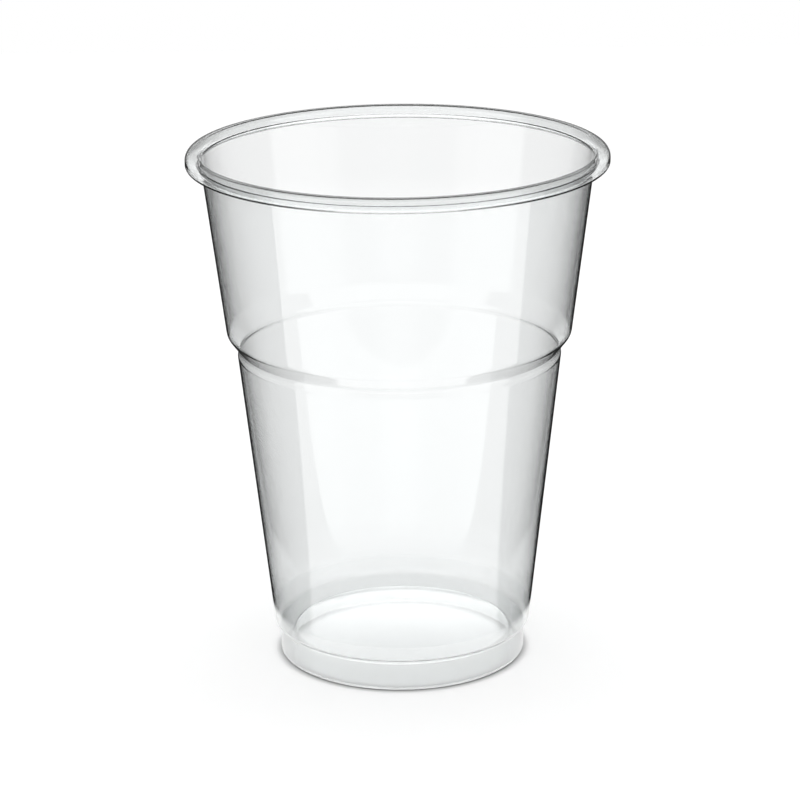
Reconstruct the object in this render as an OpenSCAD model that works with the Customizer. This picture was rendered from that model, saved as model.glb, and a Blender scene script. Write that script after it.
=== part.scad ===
// Clear disposable drinking cup, formed as one piece from one sheet of clear plastic.
// It stands on z = 0, its axis is the Z axis, and its mouth opens towards +Z. All sizes are in millimetres.

/* [Whole cup] */
// Height of the cup, from the standing ring to the top of the rim
height = 119; // [112:0.5:150]
// Outside diameter of the rolled rim, which is the widest place. The whole cup widens with it.
rim_d = 95; // [88:0.5:105]

/* [Sheet] */
// Thickness of the walls
wall_t = 0.35; // [0.25:0.05:0.6]
// Thickness of the bottom, which the forming stretches least
base_t = 0.45; // [0.3:0.05:0.65]

/* [Rolled rim] */
// How far the roll stands out from the line of the wall, at the top of the rim
roll_w = 3.15; // [2.75:0.05:4.5]
// Height of the rolled rim, from its lowest point to its top
roll_h = 3.2; // [2.8:0.1:4]
// Radius over the outer top of the roll
roll_top_r = 1.6; // [1:0.1:1.8]
// Radius under the outer bottom of the roll
roll_bottom_r = 0.8; // [0.7:0.1:1.2]
// Radius over the inner lip, where the wall turns out into the roll
lip_r = 1.2; // [0.8:0.1:1.6]
// Gap between the wall and the end of the sheet that turns up inside the roll
roll_gap = 0.4; // [0.2:0.1:0.8]
// How far the end of the sheet stands up inside the roll
roll_end_h = 1.2; // [0.9:0.1:1.6]

/* [Upper wall] */
// How far the upper wall comes in on each side, from the top of the rim down to the shoulder
upper_taper = 5.2; // [1:0.1:9]
// Height at which the upper wall ends and the shoulder begins
shoulder_z = 77.1; // [70:0.1:95]

/* [Shoulder] */
// Height of the slanted part of the shoulder
shoulder_h = 3.6; // [2.5:0.1:6]
// Radius of the bend at the top of the shoulder
shoulder_r = 2.5; // [0.7:0.1:3]
// How far the shoulder comes in on each side, from the upper wall to the groove under it
shoulder_w = 2.8; // [1.7:0.1:4.6]
// Height of the groove's own short wall
groove_h = 0.8; // [0.6:0.1:1.5]
// How far the stacking ledge stands out from the groove
ledge_w = 0.45; // [0.3:0.05:0.7]
// Height over which the ledge comes out to its full width
ledge_h = 0.8; // [0.7:0.05:1.5]

/* [Lower wall] */
// How far the lower wall comes in on each side, from the groove down to its own foot
lower_taper = 6.75; // [2:0.05:12]
// Height at which the lower wall turns in
lower_z = 7.7; // [7.4:0.1:16]
// Radius of that turn
lower_r = 1; // [0.5:0.1:2]

/* [Foot] */
// How far the foot's upright wall is set in from the foot of the lower wall
foot_step = 1.3; // [0.9:0.1:2.7]
// Height of the foot's upright wall
foot_h = 6.5; // [5:0.1:6.8]
// Radius of the corner between the foot's wall and the standing ring
foot_r = 0.8; // [0.6:0.1:1.2]

/* [Bottom] */
// Width of the flat ring on which the cup stands
ring_w = 2.2; // [1.8:0.1:2.9]
// How far the riser leans in, from the standing ring up to the raised panel
riser_w = 1.2; // [0.6:0.1:2.1]
// Radius of the bends below and above the riser
riser_r = 0.8; // [0.7:0.1:1]
// How far the panel's under face stands over the standing ring, at its edge
panel_h = 4.7; // [2.6:0.1:5.4]
// How far the middle of the panel is pushed up over its edge
panel_crown = 1; // [0.2:0.1:2]

/* [Hidden] */
$fn = 180;
// Steps of the rounding at each bend of the sheet, and of the curve across the panel
BEND_STEPS = 8;
CROWN_STEPS = 8;
// Radius of the soft bends at the groove, at the ledge and over the foot
soft_r = 0.9;

// Places on the sheet's outer face
groove_top_z = shoulder_z - shoulder_h;
groove_bottom_z = groove_top_z - groove_h;
ledge_z = groove_bottom_z - ledge_h;
top_z = height - wall_t;
roll_bottom_z = height - roll_h + wall_t;
roll_r = rim_d / 2 - wall_t;
upper_top_r = rim_d / 2 - roll_w;
upper_bottom_r = upper_top_r - upper_taper;
wall_lean = upper_taper / (top_z - shoulder_z);
roll_end_r = upper_bottom_r + wall_lean * (roll_bottom_z - shoulder_z) + roll_gap + wall_t;
groove_r = upper_bottom_r - shoulder_w;
lower_bottom_r = groove_r - lower_taper;
foot_outer_r = lower_bottom_r - foot_step;
ring_inner_r = foot_outer_r - ring_w;
panel_r = ring_inner_r - riser_w;

// The outer face as corners of [distance from the axis, height, radius of the bend, sheet thickness].
// It runs from the middle of the bottom, out and up the wall, over the lip and round inside the roll.
CORNERS = [
    for (i = [0 : CROWN_STEPS - 1])
        let (part = i / CROWN_STEPS)
        [panel_r * part, panel_h + panel_crown * (1 - part * part), 0, base_t],
    [panel_r, panel_h, riser_r, base_t],
    [ring_inner_r, 0, riser_r, base_t],
    [foot_outer_r, 0, foot_r, base_t],
    [foot_outer_r, foot_h, soft_r, wall_t],
    [lower_bottom_r, lower_z, lower_r, wall_t],
    [groove_r + ledge_w, ledge_z, soft_r, wall_t],
    [groove_r, groove_bottom_z, soft_r, wall_t],
    [groove_r, groove_top_z, soft_r, wall_t],
    [upper_bottom_r, shoulder_z, shoulder_r, wall_t],
    [upper_top_r, top_z, lip_r - wall_t, wall_t],
    [roll_r, top_z, roll_top_r - wall_t, wall_t],
    [roll_r, roll_bottom_z, roll_bottom_r - wall_t, wall_t],
    [roll_end_r, roll_bottom_z, roll_bottom_r - wall_t, wall_t],
    [roll_end_r, roll_bottom_z + roll_end_h - wall_t, 0, wall_t],
];

function flat(p) = [p[0], p[1]];
function unit(v) = v / norm(v);
function left_of(v) = [-v[1], v[0]];
function turned(v, angle) = [v[0] * cos(angle) - v[1] * sin(angle), v[0] * sin(angle) + v[1] * cos(angle)];

// One corner as the points of an arc of its radius, which touches both straight runs.
function bend(before, at, after) =
    let (
        back = unit(flat(before) - flat(at)),
        ahead = unit(flat(after) - flat(at)),
        half_turn = (180 - acos(max(-1, min(1, back * ahead)))) / 2
    )
    at[2] == 0
    ? [[at[0], at[1], at[3]]]
    : let (
        start = flat(at) + back * at[2] * tan(half_turn),
        centre = flat(at) + unit(back + ahead) * at[2] / cos(half_turn),
        side = sign(cross(-back, ahead))
    )
    [
        for (i = [0 : BEND_STEPS])
            let (point = centre + turned(start - centre, side * 2 * half_turn * i / BEND_STEPS))
            [point[0], point[1], at[3]],
    ];

// The outer face's points, with the sheet's thickness at each
last = len(CORNERS) - 1;
OUTER = [
    [CORNERS[0][0], CORNERS[0][1], CORNERS[0][3]],
    for (i = [1 : last - 1]) each bend(CORNERS[i - 1], CORNERS[i], CORNERS[i + 1]),
    [CORNERS[last][0], CORNERS[last][1], CORNERS[last][3]],
];

// The way from one face to the other at a point: square to the sheet, and longer where the sheet turns.
function across(i) =
    let (
        back = left_of(unit(flat(OUTER[max(i, 1)]) - flat(OUTER[max(i, 1) - 1]))),
        ahead_i = min(i, len(OUTER) - 2),
        ahead = left_of(unit(flat(OUTER[ahead_i + 1]) - flat(OUTER[ahead_i])))
    )
    i == 0 ? [0, 1] : (back + ahead) / (1 + back * ahead);
INNER = [for (i = [0 : len(OUTER) - 1]) flat(OUTER[i]) + across(i) * OUTER[i][2]];

module cup() {
    color([0.93, 0.95, 0.96, 0.35])
    rotate_extrude()
    polygon([for (p = OUTER) flat(p), for (i = [len(INNER) - 1 : -1 : 0]) INNER[i]]);
}

cup();
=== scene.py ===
"""A clear disposable drinking cup in a bright studio, as a small Blender add-on that is run as a script.

The cup stands on the floor at the origin with its axis on Z. Every length is in metres.
"""

import math

import bpy
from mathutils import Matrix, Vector


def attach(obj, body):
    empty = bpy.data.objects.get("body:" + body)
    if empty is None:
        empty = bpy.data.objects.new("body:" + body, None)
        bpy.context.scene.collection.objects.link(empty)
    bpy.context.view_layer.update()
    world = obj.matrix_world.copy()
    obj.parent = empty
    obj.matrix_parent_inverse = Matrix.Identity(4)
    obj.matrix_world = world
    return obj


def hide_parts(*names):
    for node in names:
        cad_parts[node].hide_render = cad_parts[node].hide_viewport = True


bl_info = {
    "name": "Clear drinking cup",
    "version": (1, 0, 0),
    "blender": (4, 5, 0),
    "location": "View3D > Sidebar > Cup",
    "description": "Builds a clear disposable drinking cup and the bright studio that it stands in",
    "category": "Object",
}

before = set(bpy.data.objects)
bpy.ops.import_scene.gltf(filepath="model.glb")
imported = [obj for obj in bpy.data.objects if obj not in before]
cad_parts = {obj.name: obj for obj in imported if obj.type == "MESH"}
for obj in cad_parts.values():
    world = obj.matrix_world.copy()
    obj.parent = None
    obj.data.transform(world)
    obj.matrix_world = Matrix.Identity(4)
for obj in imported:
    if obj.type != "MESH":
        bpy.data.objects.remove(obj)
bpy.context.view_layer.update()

MM = 0.001
# In degrees
HALF_TURN = 180
CAD_NODE = "cup"


def linear(hex_colour):
    """An sRGB hex colour as the linear numbers that Blender's colours hold."""
    parts = [int(hex_colour[i : i + 2], 16) / 255 for i in (1, 3, 5)]
    return tuple(p / 12.92 if p <= 0.04045 else ((p + 0.055) / 1.055) ** 2.4 for p in parts)


def opaque(colour):
    """A colour with full alpha, as a colour socket wants it."""
    return (*colour, 1.0)


WHITE = (1, 1, 1, 1)

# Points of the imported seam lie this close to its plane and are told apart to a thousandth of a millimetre.
# A bend is at least this sharp.
SEAM_REACH = 1e-7
SEAM_DECIMALS = 6
LEAST_BEND = math.radians(0.05)
# The Weighted Normal modifier's highest weight, which favours large faces the most
FULL_WEIGHT = 100

# Where the sheet's finish changes: over the matt foot, over the milky band above it, and round the panel.
MATT_TOP_Z = (6.6 * MM, 7.6 * MM)
MILKY_TOP_Z = (10.6 * MM, 11.4 * MM)
MILKY_BAND_SHARE = 0.4
PANEL_EDGE_R = (24.2 * MM, 25.2 * MM)
PANEL_SHARE = 0.25
SHADOW_CLEAR = linear("#F4F6F6")
SHADOW_MILKY = linear("#C0C3C3")

# The floor lies just under the cup, and glows a little less far behind it. Round the foot, over the reach
# below, a painted contact shadow darkens its colour and glow.
FLOOR_DROP = 0.05 * MM
PAINTED_CONTACT_SHADOW_REACH = 2 * MM
FAR_FLOOR_Y = (0.4, 0.46)
FLOOR_GLOW = (0.33, 0.25)

# The dark cards on the floor: how far their front edges slant forwards on each side, where the edges lie,
# the gap between the cards straight behind the cup, and the two white discs that stay clear of them.
CARD_LEVEL = 0.02
CARD_SLANT_LEFT = 0.21
CARD_SLANT_RIGHT = -0.13
CARD_FRONT = (-14 * MM, -10 * MM)
GAP_SPREAD = 0.14
GAP_SIDE = (3 * MM, 9 * MM)
DISC_UNDER_R = (41 * MM, 45 * MM)
DISC_BEHIND_AT = (0, 55 * MM, 0)
DISC_BEHIND_R = (30 * MM, 36 * MM)

# What the cup mirrors: levels round the room by the angle in degrees from straight in front of the cup, and
# levels of the ceiling by the height of the direction, which takes over higher up and only towards the front.
ROOM_STOPS = ((0, 0.6), (34, 0.6), (40, 0.9), (80, 0.9), (84, 0.15), (180, 0.15))
CEILING_STOPS = ((0.4, 1.0), (0.58, 1.0), (0.64, 0.5), (0.72, 0.5), (0.78, 0.95), (0.93, 0.95), (0.97, 0.5))
CEILING_START = (0.4, 0.5)
CEILING_SIDES = (40, 60)
# The light straight behind, which only what is seen through a wall mirrors. It fades with height.
PANEL_LIGHT_SIDES = (145, 165)
PANEL_LIGHT_FADE = (0.3, 0.5)
PANEL_LIGHT_LEVELS = (2.6, 1.1)
# Limits between whole counts: under the first, a ray has met no mirror yet, and over the second, it has
# passed four surfaces, which are a wall on its way in and another on its way out.
NO_REFLECTION = 0.5
TWO_WALLS_PASSED = 3.5


def add_node(tree, kind, inputs=None, **settings):
    """Adds a node of a kind with its settings, and fills its inputs with values or other nodes' sockets."""
    node = tree.nodes.new(kind)
    for name, value in settings.items():
        setattr(node, name, value)
    for key, value in (inputs or {}).items():
        if isinstance(value, bpy.types.NodeSocket):
            tree.links.new(value, node.inputs[key])
        else:
            node.inputs[key].default_value = value
    return node


class CupSettings(bpy.types.PropertyGroup):
    """What a user would change on the cup itself."""

    steps_round: bpy.props.IntProperty(
        name="Steps round the cup",
        description="How many flat strips make up one turn of the wall",
        default=300,
        min=48,
        max=310,
    )
    sheet_tint: bpy.props.FloatVectorProperty(
        name="Sheet tint",
        description="What colour one surface of the clear sheet leaves to the light that passes it",
        subtype="COLOR",
        size=3,
        min=0,
        max=1,
        default=linear("#F9FAFA"),
    )
    sheet_ior: bpy.props.FloatProperty(
        name="Sheet IOR",
        description="How strongly the clear sheet bends light",
        default=1.59,
        min=1,
        max=2,
    )
    sheet_roughness: bpy.props.FloatProperty(
        name="Sheet roughness",
        description="How far the formed sheet is from a perfect polish",
        subtype="FACTOR",
        default=0.02,
        min=0,
        max=1,
    )
    foot_roughness: bpy.props.FloatProperty(
        name="Foot roughness",
        description="How matt the foot is",
        subtype="FACTOR",
        default=0.15,
        min=0,
        max=1,
    )
    foot_clearness: bpy.props.FloatProperty(
        name="Foot clearness",
        description="How much of the light the milky foot lets through unscattered",
        subtype="FACTOR",
        default=0.75,
        min=0,
        max=1,
    )
    wave_length: bpy.props.FloatProperty(
        name="Wave length",
        description="Size of the slow waves that forming leaves in the sheet",
        subtype="DISTANCE",
        unit="LENGTH",
        default=22 * MM,
        min=1 * MM,
    )
    wave_height: bpy.props.FloatProperty(
        name="Wave height",
        description="Height of those waves",
        subtype="DISTANCE",
        unit="LENGTH",
        default=0.02 * MM,
        min=0,
    )


class StudioSettings(bpy.types.PropertyGroup):
    """What a user would change on the floor and the camera."""

    floor_colour: bpy.props.FloatVectorProperty(
        name="Floor colour",
        description="Colour of the floor",
        subtype="COLOR",
        size=3,
        min=0,
        max=1,
        default=linear("#E8E8E8"),
    )
    floor_width: bpy.props.FloatProperty(
        name="Floor width",
        description="Width and depth of the floor",
        subtype="DISTANCE",
        unit="LENGTH",
        default=1.4,
        min=0.5,
    )
    camera_distance: bpy.props.FloatProperty(
        name="Camera distance",
        description="Distance from the camera to the point that it looks at",
        subtype="DISTANCE",
        unit="LENGTH",
        default=722.6 * MM,
        min=0.1,
    )
    camera_elevation: bpy.props.FloatProperty(
        name="Camera elevation",
        description="Angle at which the camera looks down",
        subtype="ANGLE",
        unit="ROTATION",
        default=math.radians(17.765),
    )
    camera_roll: bpy.props.FloatProperty(
        name="Camera roll",
        description="Turn of the camera about its own line of sight",
        subtype="ANGLE",
        unit="ROTATION",
        default=math.radians(-0.573),
    )
    look_at_height: bpy.props.FloatProperty(
        name="Look-at height",
        description="Height of the point on the cup's axis that the camera looks at",
        subtype="DISTANCE",
        unit="LENGTH",
        default=60 * MM,
    )
    lens: bpy.props.FloatProperty(
        name="Lens",
        description="Focal length in millimetres on a 36 mm wide sensor",
        default=142.06,
        min=10,
    )


def sheet_section():
    """The cup's section as [distance from the axis, height] points, read from the CAD part's own seam.

    It starts on the axis, runs all round the sheet's two faces and ends on the axis.
    """
    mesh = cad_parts[CAD_NODE].data
    seam = {v.index for v in mesh.vertices if abs(v.co.y) < SEAM_REACH and v.co.x > -SEAM_REACH}
    place = {}
    for i in seam:
        point = mesh.vertices[i].co
        place[i] = (round(point.x, SEAM_DECIMALS), round(point.z, SEAM_DECIMALS))
    beside = {}
    for edge in mesh.edges:
        a, b = edge.vertices
        if a in seam and b in seam and place[a] != place[b]:
            beside.setdefault(place[a], set()).add(place[b])
            beside.setdefault(place[b], set()).add(place[a])
    ends = sorted((p for p, near in beside.items() if len(near) == 1), key=lambda p: p[1])
    if len(ends) != 2 or any(len(near) > 2 for near in beside.values()):
        raise RuntimeError("the packed cup's seam is not one line from axis to axis")
    section = [ends[0]]
    while section[-1] != ends[1]:
        ahead = beside[section[-1]] - set(section[-2:-1])
        section.append(ahead.pop())
    return section


def without_straight_points(section):
    """The same section without the points that lie along a straight run."""
    kept = [section[0]]
    for before, at, after in zip(section, section[1:], section[2:]):
        back = Vector((at[0] - kept[-1][0], at[1] - kept[-1][1]))
        ahead = Vector((after[0] - at[0], after[1] - at[1]))
        if back.angle(ahead) > LEAST_BEND:
            kept.append(at)
    return [*kept, section[-1]]


def turned_mesh(name, section, steps):
    """A closed mesh of a section turned about the Z axis, whose two ends lie on the axis."""
    low, *ring, high = section
    on_axis = [(0, 0, low[1]), (0, 0, high[1])]
    turns = [2 * math.pi * i / steps for i in range(steps)]
    round_axis = [(r * math.cos(a), r * math.sin(a), z) for r, z in ring for a in turns]

    def at(k, i):
        return len(on_axis) + k * steps + i % steps

    faces = []
    for i in range(steps):
        faces.append((0, at(0, i + 1), at(0, i)))
        faces.append((1, at(len(ring) - 1, i), at(len(ring) - 1, i + 1)))
        for k in range(len(ring) - 1):
            faces.append((at(k, i), at(k, i + 1), at(k + 1, i + 1), at(k + 1, i)))
    mesh = bpy.data.meshes.new(name)
    mesh.from_pydata(on_axis + round_axis, [], faces)
    mesh.validate()
    mesh.polygons.foreach_set("use_smooth", [True] * len(mesh.polygons))
    return mesh


def formed_sheet(settings):
    """Clear polystyrene, thermoformed from a sheet.

    Both faces are smooth and glossy, so it shows as bright reflections and dark edges more than as a colour.
    Forming leaves slow, shallow waves, which bend the reflections a little.
    """
    material = bpy.data.materials.new("clear_polystyrene_thermoformed")
    material.use_nodes = True
    tree = material.node_tree
    tree.nodes.clear()
    place = add_node(tree, "ShaderNodeTexCoord")
    waves = add_node(
        tree,
        "ShaderNodeTexNoise",
        {"Vector": place.outputs["Object"], "Scale": 1 / settings.wave_length, "Detail": 1.0},
    )
    bump = add_node(
        tree,
        "ShaderNodeBump",
        {"Height": waves.outputs["Fac"], "Strength": 1.0, "Distance": settings.wave_height},
    )
    # The foot was formed against a matt mould, so it is matt and a little milky. A fainter milky band lies
    # over it, and the panel inside it is nearly clear.
    axes = add_node(tree, "ShaderNodeSeparateXYZ", {0: place.outputs["Object"]})
    low = add_node(
        tree,
        "ShaderNodeMapRange",
        {0: axes.outputs["Z"], 1: MATT_TOP_Z[0], 2: MATT_TOP_Z[1], 3: 1.0, 4: 0.0},
    )
    band = add_node(
        tree,
        "ShaderNodeMapRange",
        {0: axes.outputs["Z"], 1: MILKY_TOP_Z[0], 2: MILKY_TOP_Z[1], 3: MILKY_BAND_SHARE, 4: 0.0},
    )
    hazy = add_node(tree, "ShaderNodeMath", {0: low.outputs[0], 1: band.outputs[0]}, operation="MAXIMUM")
    flat = add_node(tree, "ShaderNodeCombineXYZ", {0: axes.outputs["X"], 1: axes.outputs["Y"]})
    away = add_node(tree, "ShaderNodeVectorMath", {0: flat.outputs[0]}, operation="LENGTH")
    outside = add_node(
        tree,
        "ShaderNodeMapRange",
        {0: away.outputs["Value"], 1: PANEL_EDGE_R[0], 2: PANEL_EDGE_R[1], 3: PANEL_SHARE, 4: 1.0},
    )
    haze = add_node(
        tree, "ShaderNodeMath", {0: hazy.outputs[0], 1: outside.outputs[0]}, operation="MULTIPLY"
    )
    matt = add_node(
        tree, "ShaderNodeMath", {0: low.outputs[0], 1: outside.outputs[0]}, operation="MULTIPLY"
    )
    roughness = add_node(
        tree,
        "ShaderNodeMapRange",
        {0: matt.outputs[0], 3: settings.sheet_roughness, 4: settings.foot_roughness},
    )
    clearness = add_node(
        tree,
        "ShaderNodeMapRange",
        {0: haze.outputs[0], 3: 1.0, 4: settings.foot_clearness},
    )
    sheet = add_node(
        tree,
        "ShaderNodeBsdfPrincipled",
        {
            "Base Color": opaque(settings.sheet_tint),
            "Roughness": roughness.outputs[0],
            "IOR": settings.sheet_ior,
            "Transmission Weight": clearness.outputs[0],
            "Normal": bump.outputs["Normal"],
        },
    )
    # Light shines through the thin sheet, so its shadow stays faint, apart from the milky foot's.
    light = add_node(tree, "ShaderNodeLightPath")
    passed = add_node(
        tree,
        "ShaderNodeMix",
        {0: haze.outputs[0], 6: opaque(SHADOW_CLEAR), 7: opaque(SHADOW_MILKY)},
        data_type="RGBA",
    )
    let_through = add_node(tree, "ShaderNodeBsdfTransparent", {"Color": passed.outputs[2]})
    shown = add_node(
        tree,
        "ShaderNodeMixShader",
        {0: light.outputs["Is Shadow Ray"], 1: sheet.outputs["BSDF"], 2: let_through.outputs["BSDF"]},
    )
    add_node(tree, "ShaderNodeOutputMaterial", {"Surface": shown.outputs["Shader"]})
    return material


class CLEARCUP_OT_cup(bpy.types.Operator):
    """Build the cup as one thin sheet turned about the axis"""

    bl_idname = "clear_cup.cup"
    bl_label = "Build the cup"

    def execute(self, context):
        settings = context.scene.clear_cup
        section = without_straight_points(sheet_section())
        mesh = turned_mesh("cup_sheet", section, settings.steps_round)
        cup = bpy.data.objects.new("cup_sheet", mesh)
        context.scene.collection.objects.link(cup)
        # A straight run's faces keep their own direction right up to the bends beside them.
        even = cup.modifiers.new("Even runs", "WEIGHTED_NORMAL")
        even.weight = FULL_WEIGHT
        mesh.materials.append(formed_sheet(settings))
        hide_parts(CAD_NODE)
        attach(cup, "root")
        return {"FINISHED"}


def seen_unreflected(tree):
    """Two sockets that tell rays apart.

    The first is 1 for rays from the camera, straight or through clear material, and 0 after a reflection.
    The second is 1 for rays that a matt surface sends out.
    """
    light = add_node(tree, "ShaderNodeLightPath")
    unreflected = add_node(
        tree, "ShaderNodeMath", {0: light.outputs["Glossy Depth"], 1: NO_REFLECTION}, operation="LESS_THAN"
    )
    to_camera = add_node(
        tree,
        "ShaderNodeMath",
        {0: light.outputs["Is Camera Ray"], 1: light.outputs["Is Transmission Ray"]},
        operation="MAXIMUM",
    )
    both = add_node(
        tree,
        "ShaderNodeMath",
        {0: unreflected.outputs[0], 1: to_camera.outputs[0]},
        operation="MULTIPLY",
    )
    return both.outputs[0], light.outputs["Is Diffuse Ray"]


def white_floor(settings):
    """White acrylic sheet, cast smooth: a plain white ground that shows only the cup's soft shadow.

    It has a painted contact shadow: an ambient-occlusion node darkens its colour and glow where the cup's
    foot touches it. In the cup's own reflections, black cards lie on it beside and behind the cup and draw
    its dark edges.
    """
    material = bpy.data.materials.new("white_acrylic_cast")
    material.use_nodes = True
    tree = material.node_tree
    tree.nodes.clear()
    unreflected, diffuse_ray = seen_unreflected(tree)
    place = add_node(tree, "ShaderNodeNewGeometry")
    axes = add_node(tree, "ShaderNodeSeparateXYZ", {0: place.outputs["Position"]})
    # Painted contact shadow: ambient occlusion darkens the floor's colour near the cup's foot, and the glow
    # below too.
    painted_contact_shadow = add_node(
        tree,
        "ShaderNodeAmbientOcclusion",
        {"Color": opaque(settings.floor_colour), "Distance": PAINTED_CONTACT_SHADOW_REACH},
    )
    lit = add_node(tree, "ShaderNodeBsdfDiffuse", {"Color": painted_contact_shadow.outputs["Color"]})
    glow = add_node(
        tree,
        "ShaderNodeMapRange",
        {0: axes.outputs["Y"], 1: FAR_FLOOR_Y[0], 2: FAR_FLOOR_Y[1], 3: FLOOR_GLOW[0], 4: FLOOR_GLOW[1]},
    )
    # The glow is darkened by the same painted contact shadow.
    shaded = add_node(
        tree, "ShaderNodeMath", {0: glow.outputs[0], 1: painted_contact_shadow.outputs["AO"]}, operation="MULTIPLY"
    )
    white = add_node(tree, "ShaderNodeEmission", {"Color": WHITE, "Strength": shaded.outputs[0]})
    ground = add_node(tree, "ShaderNodeAddShader", {0: lit.outputs[0], 1: white.outputs[0]})
    # The cards' front edges, which run out to both sides of the cup and a little forwards.
    left = add_node(tree, "ShaderNodeMath", {0: axes.outputs["X"], 1: CARD_SLANT_LEFT}, operation="MULTIPLY")
    right = add_node(
        tree, "ShaderNodeMath", {0: axes.outputs["X"], 1: CARD_SLANT_RIGHT}, operation="MULTIPLY"
    )
    edge = add_node(tree, "ShaderNodeMath", {0: left.outputs[0], 1: right.outputs[0]}, operation="MINIMUM")
    past = add_node(tree, "ShaderNodeMath", {0: axes.outputs["Y"], 1: edge.outputs[0]}, operation="SUBTRACT")
    card = add_node(
        tree,
        "ShaderNodeMapRange",
        {0: past.outputs[0], 1: CARD_FRONT[0], 2: CARD_FRONT[1], 3: 0.0, 4: 1.0},
    )
    side = add_node(tree, "ShaderNodeMath", {0: axes.outputs["X"]}, operation="ABSOLUTE")
    gap = add_node(tree, "ShaderNodeMath", {0: axes.outputs["Y"], 1: GAP_SPREAD}, operation="MULTIPLY")
    beside = add_node(tree, "ShaderNodeMath", {0: side.outputs[0], 1: gap.outputs[0]}, operation="SUBTRACT")
    aside = add_node(
        tree,
        "ShaderNodeMapRange",
        {0: beside.outputs[0], 1: GAP_SIDE[0], 2: GAP_SIDE[1], 3: 0.0, 4: 1.0},
    )
    flat = add_node(tree, "ShaderNodeCombineXYZ", {0: axes.outputs["X"], 1: axes.outputs["Y"]})
    away = add_node(tree, "ShaderNodeVectorMath", {0: flat.outputs[0]}, operation="LENGTH")
    far = add_node(
        tree,
        "ShaderNodeMapRange",
        {0: away.outputs["Value"], 1: DISC_UNDER_R[0], 2: DISC_UNDER_R[1], 3: 0.0, 4: 1.0},
    )
    shifted = add_node(
        tree, "ShaderNodeVectorMath", {0: flat.outputs[0], 1: DISC_BEHIND_AT}, operation="DISTANCE"
    )
    behind = add_node(
        tree,
        "ShaderNodeMapRange",
        {0: shifted.outputs["Value"], 1: DISC_BEHIND_R[0], 2: DISC_BEHIND_R[1], 3: 0.0, 4: 1.0},
    )
    outer = add_node(tree, "ShaderNodeMath", {0: card.outputs[0], 1: aside.outputs[0]}, operation="MULTIPLY")
    clear = add_node(tree, "ShaderNodeMath", {0: far.outputs[0], 1: behind.outputs[0]}, operation="MULTIPLY")
    cards = add_node(tree, "ShaderNodeMath", {0: outer.outputs[0], 1: clear.outputs[0]}, operation="MULTIPLY")
    mirrored = add_node(
        tree,
        "ShaderNodeMix",
        {0: cards.outputs[0], 6: WHITE, 7: opaque((CARD_LEVEL,) * 3)},
        data_type="RGBA",
    )
    in_mirror = add_node(tree, "ShaderNodeEmission", {0: mirrored.outputs[2]})
    for_glass = add_node(
        tree, "ShaderNodeMixShader", {0: unreflected, 1: in_mirror.outputs[0], 2: ground.outputs[0]}
    )
    shown = add_node(
        tree, "ShaderNodeMixShader", {0: diffuse_ray, 1: for_glass.outputs[0], 2: lit.outputs[0]}
    )
    add_node(tree, "ShaderNodeOutputMaterial", {"Surface": shown.outputs[0]})
    return material


def set_levels(ramp, stops):
    """Gives a colour ramp one grey level at each place."""
    ramp.elements.remove(ramp.elements[1])
    for i, (place, level) in enumerate(stops):
        stop = ramp.elements[0] if i == 0 else ramp.elements.new(place)
        stop.position = place
        stop.color = opaque((level,) * 3)


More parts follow.
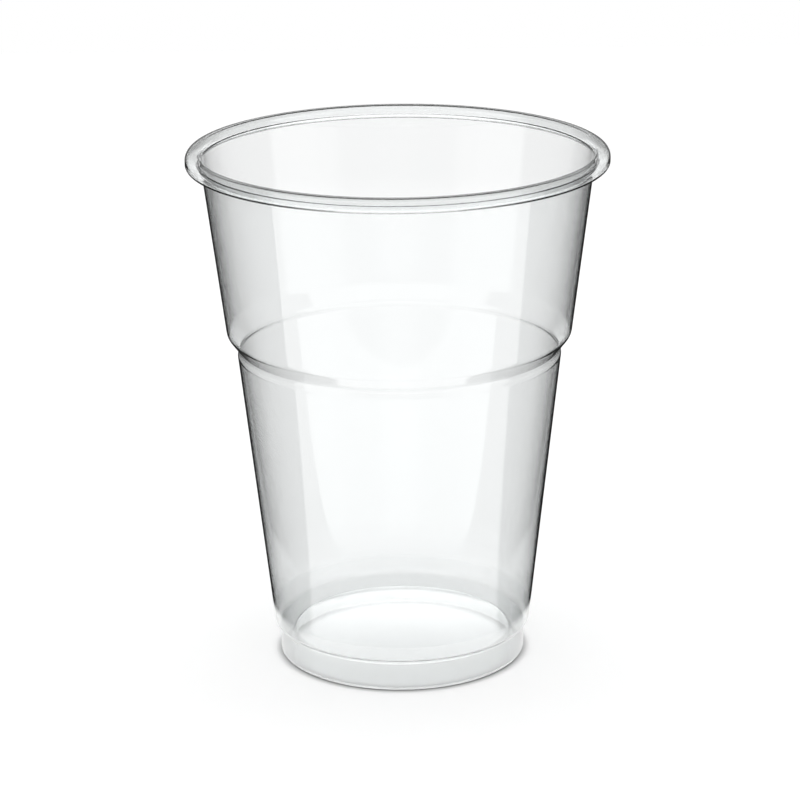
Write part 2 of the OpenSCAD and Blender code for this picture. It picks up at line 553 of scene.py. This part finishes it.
def studio_world():
    """White all round, which is the scene's only light apart from the floor's own glow.

    Where the cup mirrors it, it is a room instead: dim in front, with a tall soft light on each side of that,
    a dark back, a ceiling towards the front, and a light straight behind that few of the cup's faces show.
    """
    world = bpy.data.worlds.new("studio")
    world.use_nodes = True
    tree = world.node_tree
    tree.nodes.clear()
    unreflected, diffuse_ray = seen_unreflected(tree)
    direction = add_node(tree, "ShaderNodeTexCoord")
    axes = add_node(tree, "ShaderNodeSeparateXYZ", {0: direction.outputs["Generated"]})
    side = add_node(tree, "ShaderNodeMath", {0: axes.outputs["X"]}, operation="ABSOLUTE")
    front = add_node(tree, "ShaderNodeMath", {0: axes.outputs["Y"], 1: -1.0}, operation="MULTIPLY")
    turn = add_node(tree, "ShaderNodeMath", {0: side.outputs[0], 1: front.outputs[0]}, operation="ARCTAN2")
    share = add_node(tree, "ShaderNodeMath", {0: turn.outputs[0], 1: math.pi}, operation="DIVIDE")
    room = add_node(tree, "ShaderNodeValToRGB", {0: share.outputs[0]})
    set_levels(room.color_ramp, [(angle / HALF_TURN, level) for angle, level in ROOM_STOPS])
    # Straight behind, a light for the bottom panel: only what is seen through a wall mirrors it.
    light = add_node(tree, "ShaderNodeLightPath")
    through = add_node(
        tree,
        "ShaderNodeMath",
        {0: light.outputs["Transmission Depth"], 1: TWO_WALLS_PASSED},
        operation="GREATER_THAN",
    )
    low, full = (angle / HALF_TURN for angle in PANEL_LIGHT_SIDES)
    back = add_node(tree, "ShaderNodeMapRange", {0: share.outputs[0], 1: low, 2: full, 3: 0.0, 4: 1.0})
    panel_light = add_node(
        tree, "ShaderNodeMath", {0: through.outputs[0], 1: back.outputs[0]}, operation="MULTIPLY"
    )
    bottom, top = PANEL_LIGHT_FADE
    strong, weak = PANEL_LIGHT_LEVELS
    fade = add_node(
        tree, "ShaderNodeMapRange", {0: axes.outputs["Z"], 1: bottom, 2: top, 3: strong, 4: weak}
    )
    around = add_node(
        tree,
        "ShaderNodeMix",
        {0: panel_light.outputs[0], 6: room.outputs[0], 7: fade.outputs[0]},
        data_type="RGBA",
    )
    bottom, top = CEILING_START
    high = add_node(tree, "ShaderNodeMapRange", {0: axes.outputs["Z"], 1: bottom, 2: top, 3: 0.0, 4: 1.0})
    full, low = (angle / HALF_TURN for angle in CEILING_SIDES)
    ahead = add_node(tree, "ShaderNodeMapRange", {0: share.outputs[0], 1: full, 2: low, 3: 1.0, 4: 0.0})
    above = add_node(tree, "ShaderNodeMath", {0: high.outputs[0], 1: ahead.outputs[0]}, operation="MULTIPLY")
    ceiling = add_node(tree, "ShaderNodeValToRGB", {0: axes.outputs["Z"]})
    set_levels(ceiling.color_ramp, CEILING_STOPS)
    mirrored = add_node(
        tree,
        "ShaderNodeMix",
        {0: above.outputs[0], 6: around.outputs[2], 7: ceiling.outputs[0]},
        data_type="RGBA",
    )
    straight = add_node(tree, "ShaderNodeMath", {0: unreflected, 1: diffuse_ray}, operation="MAXIMUM")
    level = add_node(
        tree,
        "ShaderNodeMix",
        {0: straight.outputs[0], 6: mirrored.outputs[2], 7: WHITE},
        data_type="RGBA",
    )
    glow = add_node(tree, "ShaderNodeBackground", {"Color": level.outputs[2]})
    add_node(tree, "ShaderNodeOutputWorld", {"Surface": glow.outputs[0]})
    return world


class CLEARCUP_OT_studio(bpy.types.Operator):
    """Build the floor, the surroundings that light the cup, and the camera"""

    bl_idname = "clear_cup.studio"
    bl_label = "Build the studio"

    def execute(self, context):
        scene = context.scene
        settings = scene.clear_cup_studio
        half = settings.floor_width / 2
        mesh = bpy.data.meshes.new("floor")
        corners = [(-half, -half, 0), (half, -half, 0), (half, half, 0), (-half, half, 0)]
        mesh.from_pydata(corners, [], [(0, 1, 2, 3)])
        mesh.materials.append(white_floor(settings))
        floor = bpy.data.objects.new("floor", mesh)
        floor.location.z = -FLOOR_DROP
        scene.collection.objects.link(floor)
        scene.world = studio_world()

        target = Vector((0, 0, settings.look_at_height))
        back = Vector((0, -math.cos(settings.camera_elevation), math.sin(settings.camera_elevation)))
        camera = bpy.data.objects.new("camera", bpy.data.cameras.new("camera"))
        camera.data.lens = settings.lens
        camera.location = target + back * settings.camera_distance
        aim = (-back).to_track_quat("-Z", "Y").to_matrix().to_4x4()
        roll = aim @ aim.Rotation(settings.camera_roll, 4, "Z")
        camera.rotation_euler = roll.to_euler()
        scene.collection.objects.link(camera)
        scene.camera = camera
        scene.view_settings.view_transform = "Standard"
        return {"FINISHED"}


class CLEARCUP_PT_panel(bpy.types.Panel):
    """The cup's sizes, colours and builders in the 3D view's sidebar"""

    bl_idname = "CLEARCUP_PT_panel"
    bl_label = "Clear cup"
    bl_space_type = "VIEW_3D"
    bl_region_type = "UI"
    bl_category = "Cup"

    def draw(self, context):
        for settings, operator in (
            (context.scene.clear_cup, CLEARCUP_OT_cup),
            (context.scene.clear_cup_studio, CLEARCUP_OT_studio),
        ):
            box = self.layout.box()
            for name in type(settings).__annotations__:
                box.prop(settings, name)
            box.operator(operator.bl_idname)


CLASSES = (CupSettings, StudioSettings, CLEARCUP_OT_cup, CLEARCUP_OT_studio, CLEARCUP_PT_panel)


def register():
    for cls in CLASSES:
        bpy.utils.register_class(cls)
    bpy.types.Scene.clear_cup = bpy.props.PointerProperty(type=CupSettings)
    bpy.types.Scene.clear_cup_studio = bpy.props.PointerProperty(type=StudioSettings)


def unregister():
    del bpy.types.Scene.clear_cup_studio
    del bpy.types.Scene.clear_cup
    for cls in reversed(CLASSES):
        bpy.utils.unregister_class(cls)


def main():
    register()
    bpy.ops.clear_cup.cup()
    bpy.ops.clear_cup.studio()


if __name__ == "__main__":
    main()
